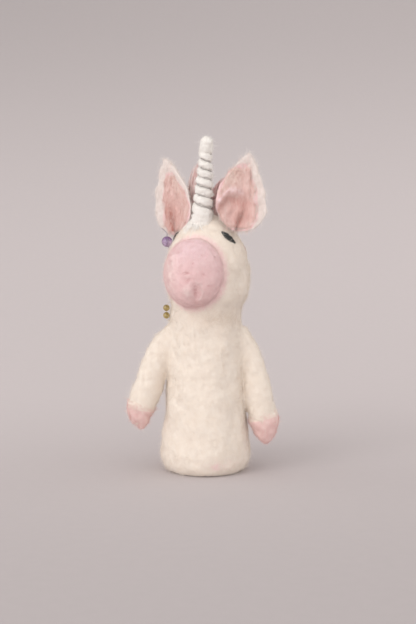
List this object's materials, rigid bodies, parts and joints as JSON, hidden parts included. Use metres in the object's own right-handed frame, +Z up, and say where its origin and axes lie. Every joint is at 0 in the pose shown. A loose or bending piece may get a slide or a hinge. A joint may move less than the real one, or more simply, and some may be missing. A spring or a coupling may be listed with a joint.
{
  "type": "finger puppet",
  "caption": "Needle-felted wool unicorn finger puppet: a hollow sleeve body for one finger, two hanging arms, a turned head with a soft muzzle, cupped ears and a horn wound with thread.",
  "frame": {"origin": "at hem level, under the middle of the puppet's bounding box", "axes": "+Z up from the hem to the horn, the body faces -Y, +X is the puppet's own left; the head is turned 22 degrees to the puppet's right"},
  "size_m": [0.0498, 0.0384, 0.1094],
  "materials": {
    "cream_wool": "needle-felted cream wool, matt, with a short fuzz",
    "pink_wool": "needle-felted pink wool, matt, with a short fuzz",
    "rose_wool": "loose combed rose wool, matt",
    "white_wool": "tightly wound white wool, matt",
    "silver_thread": "fine silver-grey sewing thread with a soft shine",
    "black_wool": "tightly felted black wool with a faint shine",
    "purple_glass": "translucent purple glass bead, glossy",
    "olive_glass": "translucent olive-gold glass bead, glossy"
  },
  "bodies": {
    "root": {"torso_sleeve": "cream_wool", "head": "cream_wool", "muzzle": "pink_wool", "left_arm": "cream_wool", "right_arm": "cream_wool", "left_hoof": "pink_wool", "right_hoof": "pink_wool", "left_ear": "cream_wool", "right_ear": "cream_wool", "left_ear_lining": "pink_wool", "right_ear_lining": "pink_wool", "horn": "white_wool", "horn_thread": "silver_thread", "left_eye": "black_wool", "right_eye": "black_wool", "mane_lock_1": "rose_wool", "mane_lock_2": "rose_wool", "mane_lock_3": "rose_wool", "mane_lock_4": "rose_wool", "mane_lock_5": "rose_wool", "mane_lock_6": "rose_wool", "purple_bead": "purple_glass", "upper_yellow_bead": "olive_glass", "lower_yellow_bead": "olive_glass"}
  },
  "joints": []
}
